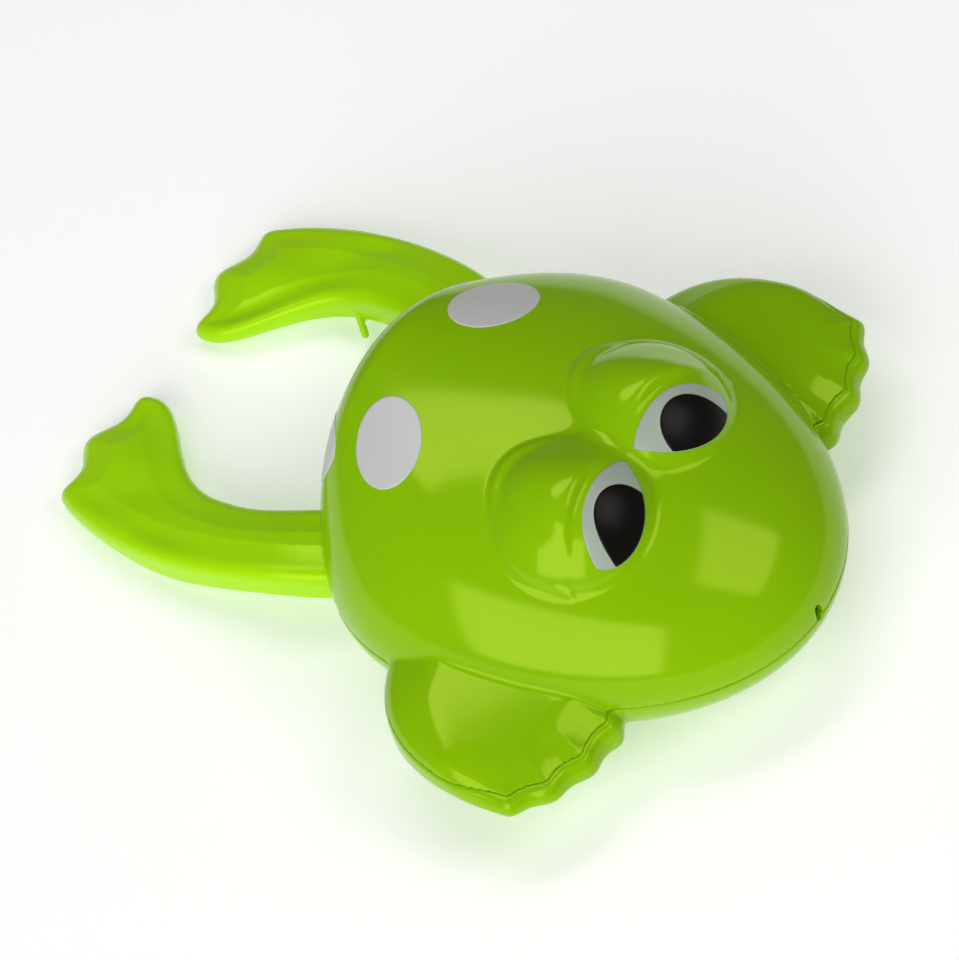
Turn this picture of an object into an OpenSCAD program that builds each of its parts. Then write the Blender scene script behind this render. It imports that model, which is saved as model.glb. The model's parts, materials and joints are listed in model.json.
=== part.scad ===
// Clockwork swimming bath frog: two-part moulded hull, kicking hind legs and a small spring motor.
// Nose towards -Y, the frog's left side towards +X, belly on the XY plane.

/* [Body] */
// Width of the body across the seam, without the front flippers
body_w = 79; // [74:1:84]
// Nose to the widest place of the body
front_l = 55; // [52:1:58]
// Widest place of the body to its rear
rear_l = 31; // [30:0.5:33]
// Height of the back above the seam
dome_h = 26; // [25:0.5:29]
// Distance of the highest point of the back behind the widest place
crest_y = 22.5; // [20:0.5:23]
// Height of the seam above the flat belly
seam_z = 16; // [15.8:0.1:16.4]
// Depth that the hull would have below the seam without its flat belly
hull_h = 22; // [21:0.5:24]
// Wall thickness of the two shells
wall = 1.8; // [1.5:0.1:2]

/* [Face and print] */
// Distance of each eyeball's centre from the middle plane
eye_x = 9.8; // [9.4:0.1:10.2]
// Distance of the eyeballs' centres in front of the widest place
eye_y = 16.9; // [16.5:0.1:17.3]
// Radius of the eyeball bulge
eye_r = 16.6; // [16.4:0.1:17.2]
// Size of the oval spots on the back
spot_d = 14.6; // [12:0.2:16]
// Thickness of the printed eyes and spots
print_t = 0.2; // [0.15:0.05:0.3]

/* [Legs] */
// Distance of each leg pivot from the middle plane
pivot_x = 16.5; // [16.5:0.1:17]
// Distance of the leg pivots behind the widest place
pivot_y = 14; // [13.8:0.1:14.2]
// Radius of the leg pivot posts
pivot_r = 2.5; // [2:0.1:2.7]
// How far each leg swings outwards from rest, in degrees
kick_out = 25; // [15:1:25]
// How far each leg swings inwards from rest, in degrees
kick_in = 5; // [2:0.5:5]

/* [Motor] */
// Radius of the crank pin's orbit
crank_r = 3.3; // [3:0.1:3.4]
// Turns of the mainspring
spring_turns = 6.5; // [5:0.5:7.5]
// Radius of the winding recess in the belly
recess_r = 13; // [12:0.5:13.5]
// Radial clearance of the shafts in their holes
run_gap = 0.06; // [0.02:0.01:0.1]

/* [Hidden] */
$fn = 48;

// Colours
body_green = [0.55, 0.78, 0.03];
leg_green = [0.66, 0.87, 0.03];
print_white = [0.86, 0.87, 0.85];
print_black = [0.08, 0.08, 0.07];
gear_white = [0.93, 0.92, 0.88];
steel = [0.66, 0.67, 0.7];
seal_black = [0.12, 0.12, 0.13];

// Feet
toe_out = [31.5, 77];
toe_in = [7.5, 75.5];
toe_crown = 2.8;
toe_notch = 2.2;
foot_reach = (toe_out.y + toe_in.y) / 2 + toe_crown;
// The frame's origin is under the middle of the whole toy's box
body_y = (front_l - foot_reach) / 2;

// Gear train, seen from above: module, tooth counts and places
gear_m = 0.5;
great_teeth = 40;
second_teeth = 30;
pinion_teeth = 10;
crank_to_second = 8.5;
mesh_crank = gear_m * (second_teeth + pinion_teeth) / 2;
mesh_great = gear_m * (great_teeth + pinion_teeth) / 2;
crank_pos = [0, 4];
second_pos = crank_pos + [crank_to_second, -sqrt(pow(mesh_crank, 2) - pow(crank_to_second, 2))];
arbor_pos = [0, second_pos.y - sqrt(pow(mesh_great, 2) - pow(second_pos.x, 2))];
pressure_angle = 20;
tooth_play = 0.12;

// Heights inside the hull
roof_z = 8;
lever_z = [9.5, 12];
yoke_z = [12.3, 14.3];
disc_z = [15.2, 16.8];
base_z = [17.6, 19];
great_z = [19.6, 21.6];
click_z = [21.6, 22.8];
second_pinion_z = [19.3, 22];
second_z = [23.4, 24.8];
crank_pinion_z = [23.2, 25];
spring_z = [25.2, 29.4];
cover_z = [30, 31.4];
hub_z = [8.6, 15.2];

// Kick linkage: lever arm, the legs' rest angle from mid stroke, and the crank's rest angle
lever_arm = 12;
rest_angle = (kick_out - kick_in) / 2;
mid_ratio = 65 / ((kick_out + kick_in) / 2);
crank_rest = -rest_angle * mid_ratio;
yoke_rest = -lever_arm * rest_angle * PI / 180;
guide_y = 12;
guide_r = 1.4;
pin_r = 1.0;
crank_pin_r = 1.2;
slot_r = crank_pin_r + 0.3;
window_dir = 54.5;
window_w = 16.4;

screw_pos = [[22.4, -20], [-22.4, -20], [0, 25.5]];
screw_seat = [2.6, 2.6, 5];
screw_head_h = 1.6;
screw_boss_h = [15.8, 15.8, 17.6];
motor_screw_pos = [[15.6, 1.5], [-15.6, 1.5], [15.6, -15], [-15.6, -15]];
pillar_pos = [[16.3, 7.3], [-16.3, 7.3], [16.3, -20], [-16.3, -20]];
spring_post = arbor_pos + 11.6 * [cos(225), sin(225)];

// Surface of the back: half width and crest height at a station, drawn in by g
function half_w(y, g) = (body_w / 2 - g) * sqrt(max(0, 1 - pow(y / ((y < 0 ? front_l : rear_l) - g), 2)));
function crest(y, g) = (dome_h - g) * sqrt(max(0, 1 - pow((y - crest_y)
    / (y < crest_y ? front_l + crest_y - g : rear_l - crest_y - g), 2)));
function station(u, g) = -cos(u) * ((u < 90 ? front_l : rear_l) - g);
function dome_point(u, a, g) = let (y = station(u, g)) [half_w(y, g) * cos(a), y, crest(y, g) * sin(a)];
function bezier(a, b, c, d, n) = [for (i = [0:n]) let (t = i / n, s = 1 - t)
    s * s * s * a + 3 * s * s * t * b + 3 * s * t * t * c + t * t * t * d];
function top_at(x, y) = crest(y, 0) * sqrt(1 - pow(x / half_w(y, 0), 2));

module place() translate([0, body_y, 0]) children();
module at(p, z = 0) translate([p.x, p.y, z]) children();
module both_sides() for (s = [0, 1]) mirror([s, 0, 0]) children();

// The back as a closed solid with a flat base on the seam plane
module dome(g, stations = 30, sides = 20) {
    rings = [for (i = [1:stations - 1]) for (j = [0:sides]) dome_point(180 * i / stations, 180 * j / sides, g)];
    pts = concat([dome_point(0, 0, g)], rings, [dome_point(180, 0, g)]);
    row = sides + 1;
    last = len(pts) - 1;
    nose = [for (j = [0:sides - 1]) [0, 2 + j, 1 + j]];
    tail = [for (j = [0:sides - 1]) [last, last - row + j, last - row + j + 1]];
    skin = [for (i = [0:stations - 3]) for (j = [0:sides - 1]) let (k = 1 + i * row + j)
        each [[k, k + 1, k + row + 1], [k, k + row + 1, k + row]]];
    base = concat([0], [for (i = [0:stations - 2]) 1 + i * row], [last],
                  [for (i = [stations - 2:-1:0]) (i + 1) * row]);
    polyhedron(pts, concat(nose, skin, tail, [base]));
}

// The hull below the seam, drawn in by g: two quarter ellipsoids
module bowl(g) {
    for (s = [-1, 1])
        intersection() {
            scale([body_w / 2 - g, (s < 0 ? front_l : rear_l) - g, hull_h - g]) sphere(1, $fn = 96);
            translate([-body_w, s < 0 ? -2 * front_l : 0, -2 * hull_h])
                cube([2 * body_w, 2 * front_l, 2 * hull_h]);
        }
}

// Front flippers: centre y, height and radius of the crown, depth and radius of the keel, plan with wavy toes
arm_crown = [20, 9.8, 296];
arm_keel = [10.5, 260];
function arm_plan() = let (tip = [53.9, -30.6], root = [31.5, -37.4], side = (root - tip) / norm(root - tip))
    concat(bezier([33, 3.5], [43, 1.5], [57, -3], tip, 10),
           [for (i = [1:17]) let (t = i / 18)
               tip + (root - tip) * t - [side.y, -side.x] * (2.3 * sin(180 * t) + 0.55 * cos(1080 * t + 17))],
           [root, [26, -34]]);
module arm_block(low, high) translate([0, 0, low]) linear_extrude(high - low) polygon(arm_plan());

module arm_top() intersection() {
    arm_block(0, 14);
    translate([0, arm_crown[0], arm_crown[1] - arm_crown[2]]) sphere(arm_crown[2]);
}
module arm_bottom() intersection() {
    arm_block(-12, 0);
    translate([0, 0, arm_keel[1] - arm_keel[0]]) sphere(arm_keel[1]);
}
module arm_hollow() translate([44, -18, 0]) scale([0.82, 0.84, 0.76]) translate([-44, 18, 0]) children();

// Hooded brow and eyeball bulge of one side, drawn in by g: the brow is cut off along a round lip above the eye
brow_pos = [10.4, -20.5, 11.8];
brow_r = [13, 20, 16.1];
lip_pos = [8.5, -38.8];
lip_r = 17.9;
eye_z = 10;
module brow(g) difference() {
    translate(brow_pos) scale([brow_r.x - g, brow_r.y - g, brow_r.z - g]) sphere(1, $fn = 64);
    at(lip_pos) cylinder(r = lip_r + g, h = 40);
    translate([-60, -60, -40]) cube([120, 60 + lip_pos.y, 80]);
}
module at_eye() translate([eye_x, -eye_y, eye_z]) children();
module eyeball(r) at_eye() sphere(r, $fn = 64);

module shell_boss(p, r, bore, low, high) difference() {
    at(p, low) cylinder(r = r, h = high - low);
    at(p, low - 1) cylinder(r = bore, h = high - low + 2);
}

module upper_shell() color(body_green) place() {
    translate([0, 0, seam_z]) difference() {
        union() {
            dome(0);
            intersection() {
                both_sides() {
                    brow(0);
                    eyeball(eye_r);
                }
                cylinder(r = 60, h = 40);
            }
            both_sides() arm_top();
        }
        translate([0, 0, -0.001]) dome(wall, 24, 14);
        both_sides() {
            brow(wall);
            eyeball(eye_r - wall);
        }
        both_sides() translate([0, 0, -0.001]) arm_hollow() arm_top();
        // Drain hole at the mouth
        translate([0, -front_l - 1, 0]) rotate([-90, 0, 0]) scale([0.75, 1, 1]) cylinder(r = 1.2, h = 6);
    }
    // Sleeves that hold the legs down, and bosses for the closing screws
    both_sides() shell_boss([pivot_x, pivot_y], 4.2, pivot_r + 0.1, hub_z[1] + 0.3, seam_z + 20);
    for (i = [0:2]) shell_boss(screw_pos[i], 3, 1.25, seam_z, seam_z + screw_boss_h[i]);
}

module leg_window() for (a = [-kick_out:10:kick_in])
    translate([pivot_x, pivot_y, hub_z[0] - 0.6]) rotate(window_dir + a)
        translate([0, -window_w / 2, 0]) cube([40, window_w, seam_z]);

module lower_shell() color(body_green) place() {
    difference() {
        translate([0, 0, seam_z]) union() {
            bowl(0);
            both_sides() arm_bottom();
        }
        translate([-body_w, -body_w, -hull_h]) cube([2 * body_w, 2 * body_w, hull_h]);
        difference() {
            translate([0, 0, seam_z]) union() {
                bowl(wall);
                both_sides() arm_hollow() arm_bottom();
            }
            translate([-body_w, -body_w, -hull_h]) cube([2 * body_w, 2 * body_w, hull_h + wall]);
            // Cup of the winding recess, with its seal housing
            at(arbor_pos) cylinder(r = recess_r + 1.6, h = roof_z + 1.6);
            at(arbor_pos) cylinder(r = 5, h = roof_z + 3.2);
            // Leg pivot posts' feet, yoke guide, screw tubes and motor posts
            both_sides() at([pivot_x, pivot_y]) cylinder(r = 4, h = hub_z[0] - 0.3);
            both_sides() at([pivot_x, pivot_y]) cylinder(r = pivot_r, h = seam_z - 0.1);
            at([0, guide_y]) cylinder(r = 2, h = lever_z[0] - 0.3);
            at([0, guide_y]) cylinder(r = guide_r, h = yoke_z[1] + 0.3);
            for (p = screw_pos) at(p) cylinder(r = 3.2, h = seam_z);
            for (p = motor_screw_pos) at(p) cylinder(r = 2.8, h = base_z[0]);
        }
        both_sides() leg_window();
        at(arbor_pos, -1) cylinder(r = recess_r, h = roof_z + 1);
        at(arbor_pos, -1) cylinder(r = 2 + run_gap, h = seam_z);
        at(arbor_pos, roof_z + 1.6) cylinder(r = 4, h = 3);
        for (i = [0:2]) {
            at(screw_pos[i], -1) cylinder(r = 1.6, h = seam_z + 2);
            at(screw_pos[i], -1) cylinder(r = 2.9, h = screw_seat[i] + screw_head_h + 1);
        }
        for (p = motor_screw_pos) at(p, 7) cylinder(r = 0.85, h = seam_z);
        translate([0, -front_l - 1, seam_z]) rotate([-90, 0, 0]) scale([0.75, 1, 1]) cylinder(r = 1.2, h = 6);
    }
    for (p = motor_screw_pos) shell_boss(p, 2.8, 0.85, seam_z - 2, base_z[0]);
}

// Outlines of the eye in the plane across its gaze: the almond white, and the pupil's round top with room below
eye_in = [-8.6, 3.2];
eye_out = [8.8, -3.3];
almond = concat(bezier(eye_in, [-3.5, 7.2], [6.8, 6.4], eye_out, 12),
                bezier(eye_out, [7.2, -8.2], [-3.6, -8], eye_in, 12));
pupil_top = concat(bezier([-5.3, -2.5], [-5.2, 5.6], [5.4, 6.6], [6.6, -5.2], 12), [[6.6, -9], [-5.3, -9]]);
gaze_tilt = 36;
module gaze(outline) at_eye() rotate([gaze_tilt, 0, 0]) linear_extrude(eye_r + 4) polygon(outline);
module eye_layer(r) difference() {
    eyeball(r + print_t);
    eyeball(r);
    brow(-0.02);
}
module eye_white() translate([0, 0, seam_z]) intersection() {
    eye_layer(eye_r);
    gaze(almond);
}
module pupil() translate([0, 0, seam_z]) intersection() {
    eye_layer(eye_r + print_t);
    gaze(almond);
    gaze(pupil_top);
}
module left_eye_white() color(print_white) place() eye_white();
module right_eye_white() color(print_white) place() mirror([1, 0, 0]) eye_white();
module left_pupil() color(print_black) place() pupil();
module right_pupil() color(print_black) place() mirror([1, 0, 0]) pupil();

// Station of the steep rear where the surface passes through x and z, by halving the span n times
function rear_y(x, z, g, lo, hi, n = 24) = let (y = (lo + hi) / 2)
    n == 0 ? y : pow(x / half_w(y, g), 2) + pow(z / crest(y, g), 2) < 1 ? rear_y(x, z, g, y, hi, n - 1)
                                                                      : rear_y(x, z, g, lo, y, n - 1);
function top_point(p, g) = [p.x, p.y, crest(p.y, g) * sqrt(1 - pow(p.x / half_w(p.y, g), 2))];
function rear_point(p, g) = [p.x, rear_y(p.x, p.y, g, crest_y, rear_l - g - 0.001), p.y];

// Oval print: centre c, radii r and its turn in the plane that point_on maps to the surface
module back_print(c, r, point_on, turn = 0, rings = 5, sides = 32) {
    way = function (a) r.x * cos(a) * [cos(turn), sin(turn)] + r.y * sin(a) * [-sin(turn), cos(turn)];
    layer = function (g) concat([point_on(c, g)],
        [for (i = [1:rings]) for (j = [0:sides - 1]) let (a = 360 * j / sides)
            point_on(c + i / rings * way(a), g)]);
    pts = concat(layer(-print_t), layer(-0.01));
    low = rings * sides + 1;
    fan = [for (j = [0:sides - 1]) let (n = (j + 1) % sides) [0, 1 + n, 1 + j]];
    ring = [for (i = [0:rings - 2]) for (j = [0:sides - 1]) let (n = (j + 1) % sides, k = 1 + i * sides)
        each [[k + j, k + n, k + sides + n], [k + j, k + sides + n, k + sides + j]]];
    edge = [for (j = [0:sides - 1]) let (n = (j + 1) % sides, k = low - sides)
        each [[k + j, k + n, low + k + n], [k + j, low + k + n, low + k + j]]];
    flip = function (f) [for (t = f) [t[0] + low, t[2] + low, t[1] + low]];
    translate([0, 0, seam_z]) polyhedron(pts, concat(fan, ring, edge, flip(fan), flip(ring)));
}
side_spot = [15.3, 13.2];
spot_turn = 149;
rear_spot_at = [15.7, 13];
module side_print() back_print(side_spot, [0.52, 0.376] * spot_d, function (p, g) top_point(p, g), spot_turn);
module left_spot() color(print_white) place() side_print();
module right_spot() color(print_white) place() mirror([1, 0, 0]) side_print();
module rear_print() back_print(rear_spot_at, [0.44, 0.44] * spot_d, function (p, g) rear_point(p, g));
module left_rear_spot() color(print_white) place() rear_print();
module right_rear_spot() color(print_white) place() mirror([1, 0, 0]) rear_print();

// One hind leg: sloping webbed paddle outside, hub and slotted lever inside
function leg_plan() = concat(bezier([21, 9.5], [36, 21], [42.5, 56], toe_out, 16),
    [for (i = [1:23]) let (t = i / 24) toe_out + (toe_in - toe_out) * t
        + [0, toe_crown * sin(180 * t) - toe_notch * (1 - cos(720 * t)) / 2]],
    bezier(toe_in, [3, 66], [24, 62], [22.3, 46], 10),
    bezier([22.3, 46], [22.8, 38], [17, 28], [11.5, 17], 8));
peg_root = [23.2, 52.6, 7.2];
leg_side = [[5, hub_z[1]], [31, hub_z[1]], [50, 11.2], [84, 3.2],
            [84, 0.4], [70, 1.4], [50, 4.6], [36, 8.2], [30, hub_z[0]], [5, hub_z[0]]];
module leg() {
    difference() {
        union() {
            intersection() {
                linear_extrude(20) polygon(leg_plan());
                translate([-50, 0, 0]) rotate([90, 0, 90]) linear_extrude(100) polygon(leg_side);
            }
            at([pivot_x, pivot_y], hub_z[0]) cylinder(r = 5.6, h = hub_z[1] - hub_z[0]);
            at([pivot_x, pivot_y], lever_z[0]) rotate(180 + rest_angle) {
                translate([0, -2.3, 0]) cube([lever_arm + 0.3, 4.6, lever_z[1] - lever_z[0]]);
                translate([lever_arm + 0.3, 0, 0]) cylinder(r = 2.3, h = lever_z[1] - lever_z[0]);
            }
            // Thin peg under the inner edge
            translate(peg_root) rotate([-30, 29, 0]) translate([0, 0, -6.2]) cylinder(r = 0.65, h = 6.2);
        }
        at([pivot_x, pivot_y], 0) cylinder(r = pivot_r + run_gap, h = 30);
        at([pivot_x, pivot_y], 0) rotate(180 + rest_angle) {
            translate([lever_arm - 0.1, -1.2, 0]) cube([0.4, 2.4, lever_z[1] + 1]);
            translate([lever_arm - 0.1, 0, 0]) cylinder(r = 1.2, h = lever_z[1] + 1);
            translate([lever_arm + 0.3, 0, 0]) cylinder(r = 1.2, h = lever_z[1] + 1);
        }
    }
}
module left_leg() color(leg_green) place() leg();
module right_leg() color(leg_green) place() mirror([1, 0, 0]) leg();

// Sliding yoke that turns the crank's circle into the legs' kick
module leg_yoke() color(gear_white) place() translate([0, yoke_rest, 0]) {
    difference() {
        at([0, 0], yoke_z[0]) linear_extrude(yoke_z[1] - yoke_z[0]) union() {
            translate([-6.6, crank_pos.y - 3.6]) square([13.2, 7.2]);
            translate([-3.6, crank_pos.y]) square([7.2, 18.2 - crank_pos.y]);
            translate([-6.2, pivot_y - 2]) square([12.4, 4]);
        }
        at([-crank_r - 0.3, crank_pos.y - slot_r], 10) cube([2 * crank_r + 0.6, 2 * slot_r, 6]);
        for (s = [-1, 1]) at([s * (crank_r + 0.3), crank_pos.y], 10) cylinder(r = slot_r, h = 6);
        at([-guide_r - 0.1, guide_y - 3.3], 10) cube([2 * guide_r + 0.2, 6.6, 6]);
        for (s = [-1, 1]) at([0, guide_y + s * 3.3], 10) cylinder(r = guide_r + 0.1, h = 6);
    }
    both_sides() at([pivot_x - lever_arm, pivot_y], lever_z[0] + 0.1)
        cylinder(r = pin_r, h = yoke_z[1] - lever_z[0] - 0.1);
}

module crank_disc() color(gear_white) place() at(crank_pos) {
    difference() {
        translate([0, 0, disc_z[0]]) cylinder(r = 5.2, h = disc_z[1] - disc_z[0]);
        translate([0, 0, disc_z[0] + 0.4]) cylinder(r = 1.2, h = 4);
    }
    rotate(crank_rest) translate([crank_r, 0, yoke_z[0] - 0.1])
        cylinder(r = crank_pin_r, h = disc_z[0] - yoke_z[0] + 0.2);
}

// Involute gear outline with thinned teeth
function involute(rb, a) = rb * [cos(a) + a * PI / 180 * sin(a), sin(a) - a * PI / 180 * cos(a)];
function turn(p, a) = [p.x * cos(a) - p.y * sin(a), p.x * sin(a) + p.y * cos(a)];
function gear_plan(z, add, ded) = let (
    rp = gear_m * z / 2,
    rb = rp * cos(pressure_angle),
    rr = rp - ded,
    roll_p = tan(pressure_angle) * 180 / PI,
    roll_tip = sqrt(pow((rp + add) / rb, 2) - 1) * 180 / PI,
    half = 90 / z - tooth_play / 2 / rp * 180 / PI,
    lean = roll_p - pressure_angle,
    flank = concat([[min(rr, rb), 0]], [for (i = [0:5]) involute(rb, roll_tip * i / 5)]))
    [for (k = [0:z - 1]) each concat(
        [for (p = flank) turn(p, 360 * k / z - half - lean)],
        [for (i = [5:-1:0]) turn([involute(rb, roll_tip * i / 5).x, -involute(rb, roll_tip * i / 5).y],
                                 360 * k / z + half + lean)],
        [turn([min(rr, rb), 0], 360 * k / z + half + lean)])];
module gear(z, add, ded, h) linear_extrude(h) polygon(gear_plan(z, add, ded));
module wheel(z, h) gear(z, 0.3, 0.65, h);
module pinion(h) gear(pinion_teeth, 0.5, 0.45, h);

// Turning angles that bring each pair into mesh at rest
function bearing(a, b) = atan2(b.y - a.y, b.x - a.x);
great_turn = bearing(arbor_pos, second_pos);
second_turn = bearing(second_pos, arbor_pos) + 180 / pinion_teeth;
second_wheel_turn = bearing(second_pos, crank_pos);
crank_turn = bearing(crank_pos, second_pos) + 180 / pinion_teeth;

module crank_arbor() color(gear_white) place() at(crank_pos) {
    translate([0, 0, disc_z[0] + 0.5]) cylinder(r = 1.2, h = cover_z[0] + 0.3 - disc_z[0]);
    translate([0, 0, crank_pinion_z[0]]) rotate(crank_turn) pinion(crank_pinion_z[1] - crank_pinion_z[0]);
}
module second_wheel() color(gear_white) place() at(second_pos) {
    translate([0, 0, base_z[0] + 0.2]) cylinder(r = 0.8, h = cover_z[1] - base_z[0] - 0.4);
    translate([0, 0, second_pinion_z[0]]) rotate(second_turn) pinion(second_pinion_z[1] - second_pinion_z[0]);
    translate([0, 0, second_pinion_z[1] - 0.2]) cylinder(r = 2.4, h = second_z[0] - second_pinion_z[1] + 0.4);
    translate([0, 0, second_z[0]]) rotate(second_wheel_turn) wheel(second_teeth, second_z[1] - second_z[0]);
}
module great_wheel() color(gear_white) place() at(arbor_pos, great_z[0]) difference() {
    rotate(great_turn) wheel(great_teeth, great_z[1] - great_z[0]);
    translate([0, 0, -1]) cylinder(r = 2 + run_gap, h = 5);
}
ratchet_r = 3.4;
ratchet_teeth = 12;
module ratchet_click() color(steel) place() at(arbor_pos, click_z[0]) rotate(200) {
    translate([6.8, 0, 0]) cylinder(r = 1.1, h = click_z[1] - click_z[0]);
    linear_extrude(click_z[1] - click_z[0])
        polygon([[7.3, 0.8], [6.2, -0.9], [3.2, -2.6], [2.7, -2.4], [4.6, -0.9], [6.3, 1]]);
}
module winding_arbor() color(steel) place() at(arbor_pos) {
    translate([0, 0, 3]) cylinder(r = 2, h = spring_z[0] - 3.2);
    translate([0, 0, click_z[0] + 0.2]) linear_extrude(click_z[1] - click_z[0])
        polygon([for (i = [0:ratchet_teeth - 1]) each [ratchet_r * [cos(30 * i), sin(30 * i)],
                                                       2.7 * [cos(30 * i + 4), sin(30 * i + 4)]]]);
    translate([0, 0, click_z[1] + 0.2]) cylinder(r = 2.6, h = spring_z[1] + 0.3 - click_z[1]);
    translate([0, 0, spring_z[1]]) cylinder(r = 1.2, h = cover_z[1] - spring_z[1] - 0.3);
}
module winding_knob() color(leg_green) place() at(arbor_pos) difference() {
    union() {
        translate([0, 0, 5.2]) cylinder(r = 6, h = 2.2);
        translate([-2.5, -7.5, 0.6]) cube([5, 15, 4.8]);
        for (s = [-1, 1]) translate([0, s * 7.5, 0.6]) cylinder(r = 2.5, h = 4.8);
    }
    translate([0, 0, 3]) cylinder(r = 2, h = 6);
}
module arbor_seal() color(seal_black) place() at(arbor_pos, roof_z + 1.6) difference() {
    cylinder(r = 4, h = 1.4);
    translate([0, 0, -1]) cylinder(r = 2 + 0.04, h = 4);
}

// Flat spiral of the mainspring, its outer end on the spring post
spring_r = [2.8, 10.4];
spring_steps = round(spring_turns * 24);
function spiral(t, off) = let (a = 225 + 360 * spring_turns * (t - 1))
    (spring_r[0] + (spring_r[1] - spring_r[0]) * t + off) * [cos(a), sin(a)];
module mainspring() color(steel) place() at(arbor_pos, spring_z[0]) linear_extrude(spring_z[1] - spring_z[0])
    polygon(concat([for (i = [0:spring_steps]) spiral(i / spring_steps, 0)],
                   [for (i = [spring_steps:-1:0]) spiral(i / spring_steps, -0.18)]));

plate_size = [37.2, 31.8];
module motor_plate(z) at([-plate_size.x / 2, -22.4], z[0]) linear_extrude(z[1] - z[0]) square(plate_size);
module motor_base() color(gear_white) place() difference() {
    motor_plate(base_z);
    at(arbor_pos, 10) cylinder(r = 2 + run_gap, h = 20);
    at(crank_pos, 10) cylinder(r = 1.2 + run_gap, h = 20);
    at(second_pos, 10) cylinder(r = 0.8 + run_gap, h = 20);
    for (p = motor_screw_pos) at(p, 10) cylinder(r = 1.1, h = 20);
    for (p = pillar_pos) at(p, 10) cylinder(r = 1.1, h = 20);
}
module motor_cover() color(gear_white) place() {
    difference() {
        motor_plate(cover_z);
        at(arbor_pos, 20) cylinder(r = 1.2 + run_gap, h = 20);
        at(crank_pos, 20) cylinder(r = 1.2 + run_gap, h = cover_z[0] - 19);
        at(second_pos, 20) cylinder(r = 0.8 + run_gap, h = 20);
        for (p = motor_screw_pos) at(p, 20) cylinder(r = 2.4, h = 20);
    }
    for (p = pillar_pos) {
        at(p, base_z[1]) cylinder(r = 1.8, h = cover_z[0] - base_z[1]);
        at(p, base_z[0]) cylinder(r = 1.05, h = 4);
    }
    at(spring_post, spring_z[0]) cylinder(r = 1, h = cover_z[0] - spring_z[0]);
}

module screw(head_r, head_h, shank_r, shank_l) difference() {
    union() {
        cylinder(r = head_r, h = head_h);
        cylinder(r = shank_r, h = head_h + shank_l);
    }
    for (a = [0, 90]) rotate(a) translate([-head_r * 0.6, -0.35, -1]) cube([head_r * 1.2, 0.7, 1.8]);
}
module motor_screws() color(steel) place() for (p = motor_screw_pos)
    at(p, base_z[1] + 1.2) mirror([0, 0, 1]) screw(2, 1.2, 0.8, 8);
module shell_screws() color(steel) place() for (i = [0:2])
    at(screw_pos[i], screw_seat[i]) screw(2.6, screw_head_h, 1.2, 20);

upper_shell();
lower_shell();
left_eye_white();
right_eye_white();
left_pupil();
right_pupil();
left_spot();
right_spot();
left_rear_spot();
right_rear_spot();
left_leg();
right_leg();
leg_yoke();
crank_disc();
crank_arbor();
second_wheel();
great_wheel();
ratchet_click();
winding_arbor();
winding_knob();
arbor_seal();
mainspring();
motor_base();
motor_cover();
motor_screws();
shell_screws();
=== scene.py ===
import json
import math

import bpy
import numpy as np
import openvdb
from mathutils import Matrix, Vector


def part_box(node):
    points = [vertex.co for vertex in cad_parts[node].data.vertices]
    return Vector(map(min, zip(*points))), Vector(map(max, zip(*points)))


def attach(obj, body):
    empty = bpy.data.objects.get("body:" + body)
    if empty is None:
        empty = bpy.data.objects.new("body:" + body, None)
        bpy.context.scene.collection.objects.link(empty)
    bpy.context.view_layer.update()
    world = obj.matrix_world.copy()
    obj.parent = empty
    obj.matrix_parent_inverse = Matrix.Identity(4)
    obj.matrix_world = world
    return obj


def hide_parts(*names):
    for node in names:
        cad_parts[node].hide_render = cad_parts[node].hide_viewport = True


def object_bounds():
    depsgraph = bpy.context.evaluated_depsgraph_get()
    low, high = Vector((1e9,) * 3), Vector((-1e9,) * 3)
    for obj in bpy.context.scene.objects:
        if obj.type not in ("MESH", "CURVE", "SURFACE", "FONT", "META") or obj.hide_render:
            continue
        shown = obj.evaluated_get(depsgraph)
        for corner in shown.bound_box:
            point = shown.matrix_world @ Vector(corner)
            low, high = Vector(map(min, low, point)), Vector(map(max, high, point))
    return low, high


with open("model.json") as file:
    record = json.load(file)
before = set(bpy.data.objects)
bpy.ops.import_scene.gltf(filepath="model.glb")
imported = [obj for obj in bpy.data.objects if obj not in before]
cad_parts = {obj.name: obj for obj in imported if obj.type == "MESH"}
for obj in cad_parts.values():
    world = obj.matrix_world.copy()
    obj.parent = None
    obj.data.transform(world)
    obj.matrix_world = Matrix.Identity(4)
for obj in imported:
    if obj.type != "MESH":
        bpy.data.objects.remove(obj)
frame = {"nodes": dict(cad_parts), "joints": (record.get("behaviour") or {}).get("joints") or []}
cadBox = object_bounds()

# Lengths below are millimetres from the middle of the body: y = 0 is its widest place, z = 0 is the seam
mm = 0.001
shellLow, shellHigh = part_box("upper_shell")
sleeveDrop = 0.5    # how far the pivot sleeves of the upper shell hang below the seam
body = {
    "halfWidth": 39.5,
    "nose": 55.0,
    "rear": 31.0,
    "crestHeight": 26.0,
    "crestY": 22.5,
    "bowlDepth": 22.0,
    "wall": 1.8,
    "seamGap": 0.05,      # half the visible gap between the two shells
    "rimRound": 0.5,
}
bodyShift = shellLow.y / mm + body["nose"]
seamZ = shellLow.z / mm + sleeveDrop
belly = -seamZ
jointAt = {j["name"]: Vector(j["pos_m"]) / mm for j in frame["joints"] if "pos_m" in j}
pivotX = jointAt["left_kick"].x
pivotY = jointAt["left_kick"].y - bodyShift
arborY = jointAt["winding"].y - bodyShift
print("frame loaded, seam at", round(seamZ, 2), "mm")


def toFrame(points):
    return (np.asarray(points, float) + (0, bodyShift, seamZ)) * mm


# Blends of distance fields; negative is inside
def smoothMin(a, b, r):
    h = np.maximum(r - np.abs(a - b), 0) / r
    return np.minimum(a, b) - h * h * r / 4


def smoothMax(a, b, r):
    return -smoothMin(-a, -b, r)


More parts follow.
